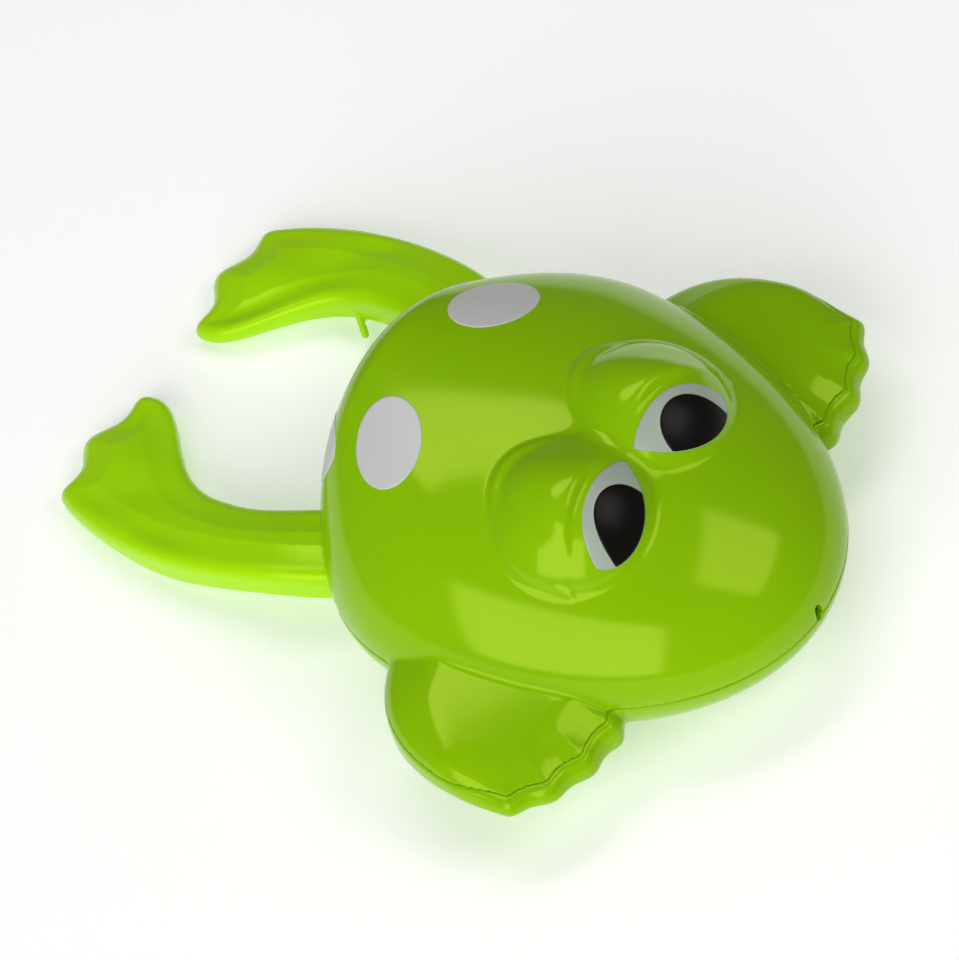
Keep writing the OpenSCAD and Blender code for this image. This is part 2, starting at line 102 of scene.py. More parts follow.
def smoothStep(lo, hi, t):
    u = np.clip((t - lo) / (hi - lo), 0, 1)
    return u * u * (3 - 2 * u)


def softRamp(t, width):
    return width * np.logaddexp(0, t / width)


def bezier(a, b, c, d, n):
    t = np.linspace(0, 1, n + 1)[:, None]
    s = 1 - t
    a, b, c, d = (np.array(p, float) for p in (a, b, c, d))
    return s**3 * a + 3 * s * s * t * b + 3 * s * t * t * c + t**3 * d


def softened(outline, width, step=0.8):
    ring = np.vstack([outline, outline[:1]])
    along = np.concatenate([[0], np.cumsum(np.linalg.norm(np.diff(ring, axis=0), axis=1))])
    count = int(along[-1] / step)
    at = np.linspace(0, along[-1], count, endpoint=False)
    even = np.stack([np.interp(at, along, ring[:, i]) for i in range(2)], 1)
    reach = int(3 * width / step) + 1
    weights = np.exp(-0.5 * (np.arange(-reach, reach + 1) * step / width) ** 2)
    shifted = [np.roll(even, k, axis=0) for k in range(-reach, reach + 1)]
    return sum(w * s for w, s in zip(weights, shifted)) / weights.sum()


def planDistance(x, y, outline):
    x, y = np.broadcast_arrays(x, y)
    best = np.full(x.shape, 1e9)
    inside = np.zeros(x.shape, bool)
    for p, q in zip(outline, np.roll(outline, -1, axis=0)):
        ex, ey = q - p
        px, py = x - p[0], y - p[1]
        t = np.clip((px * ex + py * ey) / (ex * ex + ey * ey), 0, 1)
        best = np.minimum(best, (px - t * ex) ** 2 + (py - t * ey) ** 2)
        if abs(ey) > 1e-12:
            crosses = ((p[1] > y) != (q[1] > y)) & (x < p[0] + (y - p[1]) * ex / ey)
            inside ^= crosses
    return np.where(inside, -1, 1) * np.sqrt(best)


def ellipsoid(x, y, z, centre, radii):
    ux, uy, uz = (x - centre[0]), (y - centre[1]), (z - centre[2])
    k = np.sqrt((ux / radii[0]) ** 2 + (uy / radii[1]) ** 2 + (uz / radii[2]) ** 2)
    slope = np.sqrt((ux / radii[0] ** 2) ** 2 + (uy / radii[1] ** 2) ** 2 + (uz / radii[2] ** 2) ** 2)
    return (k - 1) * k / (slope + 1e-6)


def disc(x, y, z, at, r, lo, hi):
    return np.maximum(np.hypot(x - at[0], y - at[1]) - r, np.maximum(lo - z, z - hi))


def capsule(x, y, at, angle, start, end, r):
    c, s = math.cos(math.radians(angle)), math.sin(math.radians(angle))
    u = (x - at[0]) * c + (y - at[1]) * s
    v = (y - at[1]) * c - (x - at[0]) * s
    return np.hypot(u - np.clip(u, start, end), v) - r


# Turns a distance field into a closed mesh with true normals
def gradient(field, p, h=0.04):
    g = np.empty_like(p)
    for i in range(3):
        lo, hi = p.copy(), p.copy()
        lo[:, i] -= h
        hi[:, i] += h
        g[:, i] = (field(*hi.T) - field(*lo.T)) / (2 * h)
    return g


def fieldPiece(name, field, low, high, cell):
    axes = [np.arange(a, b + cell, cell) for a, b in zip(low, high)]
    x, y, z = np.meshgrid(*axes, indexing="ij", sparse=True)
    values = np.broadcast_to(field(x, y, z), [len(a) for a in axes])
    grid = openvdb.FloatGrid(3.0)
    grid.copyFromArray(np.ascontiguousarray(np.clip(values, -3, 3), dtype=np.float32))
    points, quads = grid.convertToQuads(isovalue=0.0)
    points = np.array(low) + cell * np.asarray(points, float)
    for _ in range(3):
        g = gradient(field, points)
        steep = np.maximum((g * g).sum(1), 0.25)
        move = -(field(*points.T) / steep)[:, None] * g
        reach = np.linalg.norm(move, axis=1, keepdims=True)
        points += move * np.minimum(1, 0.4 * cell / np.maximum(reach, 1e-9))
    g = gradient(field, points)
    normals = g / np.maximum(np.linalg.norm(g, axis=1, keepdims=True), 1e-9)
    quads = np.asarray(quads, int)
    corner = points[quads]
    facing = np.cross(corner[:, 2] - corner[:, 0], corner[:, 3] - corner[:, 1])
    if ((facing * normals[quads[:, 0]]).sum(1) < 0).mean() > 0.5:
        quads = quads[:, ::-1]
    return meshPiece(name, points, quads.tolist(), normals)


def meshPiece(name, points, faces, normals=None):
    mesh = bpy.data.meshes.new(name)
    mesh.from_pydata(toFrame(points).tolist(), [], faces)
    mesh.polygons.foreach_set("use_smooth", [True] * len(faces))
    mesh.update()
    if normals is not None:
        mesh.normals_split_custom_set_from_vertices(normals.tolist())
    piece = bpy.data.objects.new(name, mesh)
    bpy.context.scene.collection.objects.link(piece)
    print("made", name, len(points), "points")
    return piece


# Body of the toy: dome above the seam, bowl below it
def crestRatio(y):
    n, r, c = body["nose"], body["rear"], body["crestY"]
    front = (n + 2 * c - y) / (n - np.minimum(y, 0)) * n * n / (n + c) ** 2
    inner = np.clip(y, 0, c)
    middle = (1 - ((inner - c) / (n + c)) ** 2) / (1 - (inner / r) ** 2)
    back = (np.maximum(y, c) - 2 * c + r) / (r - c) ** 2 * r * r / (r + np.maximum(y, c))
    return np.where(y < 0, front, np.where(y < c, middle, back))


def hullField(x, y, z, upper):
    length = np.where(y < 0, body["nose"], body["rear"])
    tall = body["crestHeight"] ** 2 * crestRatio(y) if upper else body["bowlDepth"] ** 2
    k = np.sqrt((x / body["halfWidth"]) ** 2 + (y / length) ** 2 + z * z / tall)
    slope = np.sqrt((x / body["halfWidth"] ** 2) ** 2 + (y / length**2) ** 2 + (z / tall) ** 2)
    return (k - 1) * k / (slope + 1e-6)


brow = {
    "centre": (10.4, -20.5, 11.8),
    "radii": (13.0, 20.0, 16.1),
    "rimOut": 1.0,        # how far the low rim stands out beyond the hood
    "rimHeight": 1.0,
    "lipY": -20.9,
    "lipX": 8.5,
    "lipCurve": 0.028,
    "lipRound": 3.2,
    "fold": 0.14,         # depth of the shallow fold behind the lip
    "foldAt": 2.5,
    "bridge": 2.6,        # softness of the saddle between the two brows
}
eye = {"centre": (9.8, -16.9, 10.0), "radius": 16.6, "bridge": 1.8}


def browField(x, y, z, hull):
    lip = (y - brow["lipY"] + brow["lipCurve"] * (x - brow["lipX"]) ** 2)
    lip = lip / np.sqrt(1 + (2 * brow["lipCurve"] * (x - brow["lipX"])) ** 2)
    hood = ellipsoid(x, y, z, brow["centre"], brow["radii"])
    hood = hood + brow["fold"] * np.exp(-((lip - brow["foldAt"]) / 1.2) ** 2)
    wide = [r + brow["rimOut"] for r in brow["radii"]]
    rim = smoothMax(ellipsoid(x, y, z, brow["centre"], wide), hull - brow["rimHeight"], 0.6)
    hood = smoothMax(smoothMin(hood, rim, 0.8), -lip, brow["lipRound"])
    return hood


def faceField(x, y, z, hull):
    ball = smoothMin(
        ellipsoid(x, y, z, eye["centre"], [eye["radius"]] * 3),
        ellipsoid(-x, y, z, eye["centre"], [eye["radius"]] * 3),
        eye["bridge"],
    )
    brows = smoothMin(browField(x, y, z, hull), browField(-x, y, z, hull), brow["bridge"])
    return smoothMin(smoothMin(hull, ball, 0.7), brows, 0.5)


flipper = {
    "tip": (53.9, -30.6),
    "root": (31.5, -37.4),
    "rearBend": ((33, 3.5), (43, 1.5), (57, -3)),
    "toeBulge": 2.3,
    "toeWave": 0.55,
    "crown": (20.0, 9.8, 592.0),   # centre y, height there, fall-off
    "keel": (-10.5, 520.0),
    "bevelSlope": 0.52,
    "bevelLow": (-0.8, 1.4),      # height of the widest contour at the toes and at the rear
    "edgeRound": 1.2,
    "sideRound": 2.6,
}


def flipperOutline():
    tip, root = np.array(flipper["tip"]), np.array(flipper["root"])
    side = (root - tip) / np.linalg.norm(root - tip)
    out = np.array([-side[1], side[0]])
    t = np.linspace(0, 1, 41)[1:-1, None]
    wave = flipper["toeBulge"] * np.sin(math.pi * t) + flipper["toeWave"] * np.cos(6 * math.pi * t + 0.3)
    toes = tip + (root - tip) * t + out * wave * smoothStep(0, 0.1, t)
    rear = bezier(*flipper["rearBend"], flipper["tip"], 20)
    return softened(np.vstack([rear, toes, root, (26, -34), (26, 0)]), 0.7)


flipperPlan = flipperOutline()


def flipperField(x, y, z):
    x = np.abs(x)
    plan = planDistance(x, y, flipperPlan)
    tip, root = np.array(flipper["tip"]), np.array(flipper["root"])
    side = (root - tip) / np.linalg.norm(root - tip)
    behind = (x - tip[0]) * side[1] - (y - tip[1]) * side[0]
    toeLow, rearLow = flipper["bevelLow"]
    low = toeLow + (rearLow - toeLow) * smoothStep(3, 14, behind)
    slope = flipper["bevelSlope"]
    bevel = (slope * plan + z - low) / math.sqrt(1 + slope * slope)
    crownY, crownZ, fall = flipper["crown"]
    face = z - crownZ + (x * x + (y - crownY) ** 2) / fall
    keel = flipper["keel"][0] + (x * x + y * y) / flipper["keel"][1] - z
    top = smoothMax(face, bevel, flipper["edgeRound"])
    return smoothMax(top, smoothMax(plan, keel, 2.0), flipper["sideRound"])


drain = {"radii": (0.9, 1.7), "rise": 0.9, "length": 6.0}
pivot = {
    "radius": 2.5,
    "play": 0.1,        # the sleeve's bore over its post
    "legPlay": 0.06,    # the leg's bore over its post
    "sleeve": 4.2,
    "foot": 4.0,
    "footTop": -7.7,
    "postTop": -0.1,
    "boreTop": 20.0,
}
screws = {
    "at": ((22.4, -20.0), (-22.4, -20.0), (0.0, 25.5)),
    "boss": 3.0,
    "bore": 1.25,
    "post": 3.2,
    "shank": 1.6,
    "well": 2.9,
    "seat": (2.6, 2.6, 5.0),   # how deep each head sits above the belly
    "head": 1.6,
}
overlap = 0.5     # how far inner bosses reach into the skin they stand on
beyond = 30.0     # past the end of any piece, for cuts and bosses


def drainField(x, y, z):
    rx, rz = drain["radii"]
    hole = (np.sqrt((x / rx) ** 2 + ((z - drain["rise"]) / rz) ** 2) - 1) * rx
    return np.maximum(hole, y + body["nose"] - drain["length"])


def upperField(x, y, z):
    hull = hullField(x, y, z, True)
    skin = smoothMin(faceField(x, y, z, hull), flipperField(x, y, z), 0.6)
    wallOnly = smoothMax(skin, -(skin + body["wall"]), 0.1)
    for px in (pivotX, -pivotX):
        at = (px, pivotY)
        sleeve = np.maximum(disc(x, y, z, at, pivot["sleeve"], -sleeveDrop, beyond), skin + overlap)
        bore = disc(x, y, z, at, pivot["radius"] + pivot["play"], -2, pivot["boreTop"])
        wallOnly = np.maximum(np.minimum(wallOnly, sleeve), -bore)
    for at in screws["at"]:
        boss = np.maximum(disc(x, y, z, at, screws["boss"], 0, beyond), skin + overlap)
        wallOnly = np.maximum(np.minimum(wallOnly, boss), -disc(x, y, z, at, screws["bore"], -2, 15))
    inSleeve = np.hypot(np.abs(x) - pivotX, y - pivotY) - pivot["sleeve"] - pivot["play"]
    base = np.where(inSleeve < 0, -sleeveDrop, body["seamGap"])
    shell = smoothMax(wallOnly, base - z, body["rimRound"])
    return smoothMax(shell, -drainField(x, y, z), 0.3)


recess = {    # round hollow in the belly for the winding knob
    "radius": 13.0,
    "roof": 8.0,
    "wall": 1.6,
    "arbor": 2.06,
    "sealPocket": 4.0,
    "sealHouse": 5.0,
    "sealTop": 3.2,
}
window = {    # opening each hind leg swings in
    "direction": 54.5,
    "width": 16.4,
    "turns": (-25, -15, -5, 5),
    "low": -8.0,
}
posts = {     # stands of the clockwork
    "at": ((15.6, 1.5), (-15.6, 1.5), (15.6, -15.0), (-15.6, -15.0)),
    "radius": 2.8,
    "pilot": 0.85,
    "top": 1.6,
}


def windowField(x, y, z):
    ax = np.abs(x)
    cut = 1e3
    for a in window["turns"]:
        t = math.radians(window["direction"] + a)
        u = (ax - pivotX) * math.cos(t) + (y - pivotY) * math.sin(t)
        v = (y - pivotY) * math.cos(t) - (ax - pivotX) * math.sin(t)
        cut = np.minimum(cut, np.maximum(np.abs(v) - window["width"] / 2, -u))
    return np.maximum(cut, window["low"] - z)


def lowerField(x, y, z):
    arbor = (0.0, arborY)
    skin = smoothMin(hullField(x, y, z, False), flipperField(x, y, z), 0.6)
    skin = smoothMax(skin, belly - z, 3.0)
    solid = smoothMax(skin, -(skin + body["wall"]), 0.1)
    roof = belly + recess["roof"]
    inner = disc(x, y, z, arbor, recess["radius"] + recess["wall"], belly, roof + recess["wall"])
    inner = np.minimum(inner, disc(x, y, z, arbor, recess["sealHouse"], belly, roof + recess["sealTop"]))
    for side in (1, -1):
        at = (side * pivotX, pivotY)
        inner = np.minimum(inner, disc(x, y, z, at, pivot["foot"], belly, pivot["footTop"]))
        inner = np.minimum(inner, disc(x, y, z, at, pivot["radius"], belly, pivot["postTop"]))
    for at in screws["at"]:
        inner = np.minimum(inner, disc(x, y, z, at, screws["post"], belly, -body["seamGap"]))
    for at in posts["at"]:
        inner = np.minimum(inner, disc(x, y, z, at, posts["radius"], belly, posts["top"]))
    solid = np.minimum(solid, np.maximum(inner, skin + 0.2))
    solid = smoothMax(solid, -windowField(x, y, z), 0.4)
    solid = smoothMax(solid, -disc(x, y, z, arbor, recess["radius"], belly - 5, roof), 0.5)
    solid = np.maximum(solid, -disc(x, y, z, arbor, recess["arbor"], belly - 5, 0))
    solid = np.maximum(solid, -disc(x, y, z, arbor, recess["sealPocket"], roof + recess["wall"], 0))
    for at, seat in zip(screws["at"], screws["seat"]):
        top = belly + seat + screws["head"]
        solid = np.maximum(solid, -disc(x, y, z, at, screws["shank"], belly - 5, 2))
        solid = smoothMax(solid, -disc(x, y, z, at, screws["well"], belly - 5, top), 0.3)
    for at in posts["at"]:
        solid = np.maximum(solid, -disc(x, y, z, at, posts["pilot"], -9, 5))
    nearest = np.minimum.reduce([np.hypot(x - p[0], y - p[1]) for p in posts["at"]])
    top = np.where(nearest < posts["radius"] + 0.1, posts["top"], -body["seamGap"])
    solid = smoothMax(solid, z - top, body["rimRound"])
    return smoothMax(solid, -drainField(x, y, z), 0.3)


# Hind leg: webbed paddle outside, hub and slotted lever inside
leg = {
    "outer": ((21, 9.5), (36, 21), (42.5, 56), (31.0, 77)),
    "toeIn": (7.6, 76.2),
    "toeCrown": 3.2,
    "toeNotch": 2.6,
    "instep": ((3, 66), (24, 62), (22.3, 46)),
    "calf": ((22.8, 38), (17, 28), (11.5, 17)),
    "topZ": -0.8,
    "slope": 0.2264,
    "bendY": 31.0,
    "thick": 6.6,
    "thin": 0.07,
    "heel": (1.5, 50.0, 11.0),   # extra depth under the calf, where and how wide
    "edge": 2.6,
    "sole": 0.9,
    "webDepth": 0.3,
    "hub": 5.6,
    "hubLow": -7.4,
    "lever": 12.0,
    "leverAngle": 190.0,
    "leverWide": 2.3,
    "slotWide": 1.2,
    "slotPlay": (-0.1, 0.3),   # how far the slot reaches either side of its pin
    "leverZ": (-6.5, -4.0),
}
peg = {
    "root": (23.2, 52.6, -8.8),
    "aim": (-0.42, -0.5, -0.76),
    "length": 6.2,
    "radius": 0.65,
}


def legOutline():
    toeOut, toeIn = np.array(leg["outer"][3]), np.array(leg["toeIn"])
    t = np.linspace(0, 1, 49)[1:-1, None]
    lift = leg["toeCrown"] * np.sin(math.pi * t) + leg["toeNotch"] * (np.cos(4 * math.pi * t) - 1) / 2
    toes = toeOut + (toeIn - toeOut) * t + lift * np.array([0, 1])
    return softened(np.vstack([
        bezier(*leg["outer"], 24), toes, bezier(leg["toeIn"], *leg["instep"], 14),
        bezier(leg["instep"][2], *leg["calf"], 12)[1:],
    ]), 1.1)


legPlan = legOutline()


def legField(x, y, z):
    plan = planDistance(x, y, legPlan)
    drop = softRamp(y - leg["bendY"], 2.5)
    top = leg["topZ"] - leg["slope"] * drop
    extra, calfY, wide = leg["heel"]
    thick = leg["thick"] - leg["thin"] * drop + extra * np.exp(-((y - calfY) / wide) ** 2)
    across = np.arctan2(x - 22, y - 44)
    web = leg["webDepth"] * np.cos(across * 9.5 + 0.4) * smoothStep(52, 70, y) * smoothStep(0, -4, plan)
    fold = -0.7 * np.exp(-(((y - 60) * 0.8 + (x - 24) * 0.6) / 5.0) ** 2) * smoothStep(0, -5, plan)
    crown = 0.02 * np.minimum(-plan, 6) ** 2
    paddle = smoothMax(plan, top - thick - z, leg["sole"])
    paddle = smoothMax(paddle, z - top - web - fold - crown + 0.5, leg["edge"])
    at = (pivotX, pivotY)
    hub = disc(x, y, z, at, leg["hub"], leg["hubLow"], leg["topZ"])
    near, far = (leg["lever"] + play for play in leg["slotPlay"])
    lever = capsule(x, y, at, leg["leverAngle"], 0, far, leg["leverWide"])
    lever = np.maximum(lever, np.maximum(leg["leverZ"][0] - z, z - leg["leverZ"][1]))
    solid = smoothMin(smoothMin(paddle, hub, 0.4), lever, 0.4)
    bore = np.hypot(x - at[0], y - at[1]) - pivot["radius"] - pivot["legPlay"]
    solid = np.maximum(solid, -bore)
    slot = capsule(x, y, at, leg["leverAngle"], near, far, leg["slotWide"])
    solid = np.maximum(solid, -slot)
    aim = np.array(peg["aim"]) / np.linalg.norm(peg["aim"])
    ux, uy, uz = x - peg["root"][0], y - peg["root"][1], z - peg["root"][2]
    along = np.clip(ux * aim[0] + uy * aim[1] + uz * aim[2], 0, peg["length"])
    pin = np.sqrt((ux - along * aim[0]) ** 2 + (uy - along * aim[1]) ** 2 + (uz - along * aim[2]) ** 2)
    return smoothMin(solid, pin - peg["radius"], 0.5)


knob = {
    "disc": 6.0,
    "discMiddle": -9.7,
    "discHalf": 1.1,
    "grip": 2.5,
    "reach": 7.5,
    "gripMiddle": -13.0,
    "gripHalf": 2.4,
    "waist": 0.35,
    "bore": 2.0,
    "round": 1.0,
}


def knobField(x, y, z):
    at = (0.0, arborY)
    plate = np.abs(z - knob["discMiddle"]) - knob["discHalf"]
    plate = smoothMax(np.hypot(x, y - arborY) - knob["disc"], plate, 0.8)
    grip = capsule(x, y, at, 90, -knob["reach"], knob["reach"], knob["grip"])
    grip = grip + knob["waist"] * smoothStep(4, 0, np.abs(y - arborY))
    grip = smoothMax(grip, np.abs(z - knob["gripMiddle"]) - knob["gripHalf"], knob["round"])
    solid = smoothMin(plate, grip, 0.8)
    return np.maximum(solid, -disc(x, y, z, at, knob["bore"], knob["gripMiddle"], 0))


# Printed patches follow the shell: a star-shaped outline, pushed along one direction onto the surface
def rayRadius(outline, centre, angles):
    reach = np.full(len(angles), 1e9)
    ray = np.stack([np.cos(angles), np.sin(angles)], 1)
    for p, q in zip(outline - centre, np.roll(outline - centre, -1, axis=0)):
        e = q - p
        cross = ray[:, 0] * e[1] - ray[:, 1] * e[0]
        cross = np.where(np.abs(cross) < 1e-12, 1e-12, cross)
        far = (p[0] * e[1] - p[1] * e[0]) / cross
        share = (p[0] * ray[:, 1] - p[1] * ray[:, 0]) / cross
        hit = (far > 0) & (share >= -1e-9) & (share <= 1 + 1e-9)
        reach = np.where(hit, np.minimum(reach, far), reach)
    return reach


def skinField(x, y, z):
    return faceField(x, y, z, hullField(x, y, z, True))


def ballField(x, y, z):
    return ellipsoid(x, y, z, eye["centre"], [eye["radius"]] * 3)


def printPiece(name, surface, centre, radius, origin, uAxis, vAxis, outAxis, start, lift, mirrored):
    rings, count = 26, len(radius)
    angles = np.arange(count) * 2 * math.pi / count
    spokes = radius[:, None] * np.stack([np.cos(angles), np.sin(angles)], 1)
    flat = [np.array([centre])]
    for i in range(1, rings + 1):
        flat.append(np.array(centre) + (i / rings) ** 0.8 * spokes)    # rings crowd towards the edge
    flat = np.vstack(flat)
    p = origin + flat[:, :1] * uAxis + flat[:, 1:] * vAxis + start * outAxis
    for _ in range(12):
        slope = gradient(surface, p) @ outAxis
        p = p - (surface(*p.T) / np.where(np.abs(slope) < 0.2, 0.2, slope))[:, None] * outAxis
    g = gradient(surface, p)
    n = g / np.linalg.norm(g, axis=1, keepdims=True)
    top = np.full(len(p), lift)
    top[-count:] = lift * 0.55
    under = p - printLift["sunk"] * n
    points = np.vstack([p + n * top[:, None], under[-count:], under[:1]])
    faces = []
    last = len(points) - 1
    for j in range(count):
        k = (j + 1) % count
        faces.append((0, 1 + j, 1 + k))
        for i in range(rings - 1):
            a = 1 + i * count
            faces.append((a + j, a + count + j, a + count + k, a + k))
        a, b = 1 + (rings - 1) * count, 1 + rings * count
        faces.append((a + j, b + j, b + k, a + k))
        faces.append((b + k, b + j, last))
    if mirrored:
        points = points * (-1, 1, 1)
        faces = [f[::-1] for f in faces]
    return meshPiece(name, points, faces)


eyePrint = {
    "tilt": 36.0,
    "inner": (-8.6, 3.2),
    "outer": (8.8, -3.3),
    "upperLid": ((-3.5, 7.2), (6.8, 6.4)),
    "lowerLid": ((7.2, -8.2), (-3.6, -8.0)),
    "pupilTop": ((-5.3, -2.5), (-5.2, 5.6), (5.4, 6.6), (6.6, -5.2)),
    "pupilBase": ((6.6, -9.0), (-5.3, -9.0)),
    "pupilInset": 0.12,
    "middle": (0.3, -0.4),
    "pupilMiddle": (0.8, -1.8),
}
spots = {
    "side": (15.3, 13.2),
    "sideRadii": (7.6, 5.5),
    "sideTurn": 149.0,
    "rear": (15.7, 14.2),
    "rearRadius": 5.8,
}
printLift = {"white": 0.1, "pupil": 0.22, "sunk": 0.15}    # above the skin, and how deep the edge goes in


def makePrints():
    pieces = {}
    angles = np.arange(120) * 2 * math.pi / 120
    almond = np.vstack([
        bezier(eyePrint["inner"], *eyePrint["upperLid"], eyePrint["outer"], 40)[:-1],
        bezier(eyePrint["outer"], *eyePrint["lowerLid"], eyePrint["inner"], 40)[:-1],
    ])
    iris = np.vstack([bezier(*eyePrint["pupilTop"], 40), eyePrint["pupilBase"]])
    tilt = math.radians(eyePrint["tilt"])
    down = np.array([0, math.cos(tilt), math.sin(tilt)])
    out = np.array([0, -math.sin(tilt), math.cos(tilt)])
    whiteAt, pupilAt = eyePrint["middle"], eyePrint["pupilMiddle"]
    white = rayRadius(almond, whiteAt, angles)
    rim = rayRadius(almond, pupilAt, angles) - eyePrint["pupilInset"]
    pupil = np.minimum(rayRadius(iris, pupilAt, angles), rim)
    a, b = spots["sideRadii"]
    turned = angles - math.radians(spots["sideTurn"])
    oval = a * b / np.hypot(b * np.cos(turned), a * np.sin(turned))
    circle = np.full(len(angles), spots["rearRadius"])
    ball = np.array(eye["centre"])
    origin, xAxis, yAxis, zAxis = np.zeros(3), *np.eye(3)
    low, high = printLift["white"], printLift["pupil"]
    gaze = (ball, xAxis, down, out, eye["radius"])
    fromTop = (origin, xAxis, yAxis, zAxis, 23.0)       # starts just under the skin, then settles on it
    fromRear = (origin, xAxis, zAxis, yAxis, 26.5)
    for side, mirrored in (("left", False), ("right", True)):
        for node, name, skin, centre, radius, axes, lift in (
            ("_eye_white", "EyeWhite", ballField, whiteAt, white, gaze, low),
            ("_pupil", "Pupil", ballField, pupilAt, pupil, gaze, high),
            ("_spot", "Spot", skinField, spots["side"], oval, fromTop, low),
            ("_rear_spot", "RearSpot", skinField, spots["rear"], circle, fromRear, low),
        ):
            made = printPiece(side + name, skin, centre, radius, *axes, lift, mirrored)
            pieces[side + node] = made
    return pieces


# Shader groups shared by the finishes
def newGroup(name, inputs, outputs):
    group = bpy.data.node_groups.new(name, "ShaderNodeTree")
    for label, kind, value in inputs:
        socket = group.interface.new_socket(label, in_out="INPUT", socket_type=kind)
        socket.default_value = value
    for label, kind in outputs:
        group.interface.new_socket(label, in_out="OUTPUT", socket_type=kind)
    nodes = group.nodes
    return group, nodes, group.links, nodes.new("NodeGroupInput"), nodes.new("NodeGroupOutput")


def noiseNode(nodes, links, coordinate, size, detail=3.0):
    node = nodes.new("ShaderNodeTexNoise")
    node.inputs["Detail"].default_value = detail
    node.inputs["Scale"].default_value = size
    links.new(coordinate, node.inputs["Vector"])
    return node


def mapRange(nodes, links, value, lo, hi, outLo, outHi):
    node = nodes.new("ShaderNodeMapRange")
    for label, number in (("From Min", lo), ("From Max", hi), ("To Min", outLo), ("To Max", outHi)):
        node.inputs[label].default_value = number
    links.new(value, node.inputs["Value"])
    return node


def buildMouldTint():
    group, nodes, links, source, sink = newGroup(
        "mouldTint",
        [("Color", "NodeSocketColor", (0.5, 0.5, 0.5, 1)), ("Deep", "NodeSocketColor", (0.3, 0.3, 0.3, 1)),
         ("Amount", "NodeSocketFloat", 0.3)],
        [("Color", "NodeSocketColor")],
    )
    place = nodes.new("ShaderNodeTexCoord")
    flow = noiseNode(nodes, links, place.outputs["Object"], 26.0, 2.0)
    fine = noiseNode(nodes, links, place.outputs["Object"], 420.0, 4.0)
    both = nodes.new("ShaderNodeMath")
    both.operation = "MULTIPLY_ADD"
    both.inputs[1].default_value = 0.25
    links.new(fine.outputs["Fac"], both.inputs[0])
    links.new(flow.outputs["Fac"], both.inputs[2])
    share = mapRange(nodes, links, both.outputs[0], 0.45, 0.85, 0.0, 1.0)
    scaled = nodes.new("ShaderNodeMath")
    scaled.operation = "MULTIPLY"
    links.new(share.outputs["Result"], scaled.inputs[0])
    links.new(source.outputs["Amount"], scaled.inputs[1])
    mix = nodes.new("ShaderNodeMix")
    mix.data_type = "RGBA"
    links.new(scaled.outputs[0], mix.inputs["Factor"])
    links.new(source.outputs["Color"], mix.inputs["A"])
    links.new(source.outputs["Deep"], mix.inputs["B"])
    links.new(mix.outputs["Result"], sink.inputs["Color"])
    return group


def buildHandling():
    group, nodes, links, source, sink = newGroup(
        "handlingMarks",
        [("Roughness", "NodeSocketFloat", 0.15), ("Spread", "NodeSocketFloat", 0.08),
         ("Scratches", "NodeSocketFloat", 0.5)],
        [("Roughness", "NodeSocketFloat"), ("Height", "NodeSocketFloat")],
    )
    place = nodes.new("ShaderNodeTexCoord")
    cloud = noiseNode(nodes, links, place.outputs["Object"], 90.0, 5.0)
    stretch = nodes.new("ShaderNodeMapping")
    stretch.inputs["Scale"].default_value = (60.0, 900.0, 500.0)
    stretch.inputs["Rotation"].default_value = (0.3, 0.2, 0.7)
    links.new(place.outputs["Object"], stretch.inputs["Vector"])
    lines = noiseNode(nodes, links, stretch.outputs["Vector"], 1.0, 6.0)
    hair = mapRange(nodes, links, lines.outputs["Fac"], 0.66, 0.74, 0.0, 1.0)
    marks = nodes.new("ShaderNodeMath")
    marks.operation = "MULTIPLY"
    links.new(hair.outputs["Result"], marks.inputs[0])
    links.new(source.outputs["Scratches"], marks.inputs[1])
    soft = nodes.new("ShaderNodeMath")
    soft.operation = "MULTIPLY_ADD"
    links.new(cloud.outputs["Fac"], soft.inputs[0])
    links.new(source.outputs["Spread"], soft.inputs[1])
    links.new(source.outputs["Roughness"], soft.inputs[2])
    rough = nodes.new("ShaderNodeMath")
    rough.operation = "MULTIPLY_ADD"
    rough.inputs[1].default_value = 0.12
    links.new(marks.outputs[0], rough.inputs[0])
    links.new(soft.outputs[0], rough.inputs[2])
    ripple = noiseNode(nodes, links, place.outputs["Object"], 60.0, 1.0)
    height = nodes.new("ShaderNodeMath")
    height.operation = "MULTIPLY_ADD"
    height.inputs[1].default_value = -0.04
    links.new(marks.outputs[0], height.inputs[0])
    links.new(ripple.outputs["Fac"], height.inputs[2])
    links.new(rough.outputs[0], sink.inputs["Roughness"])
    links.new(height.outputs[0], sink.inputs["Height"])
    return group


mouldTint = buildMouldTint()
handlingMarks = buildHandling()

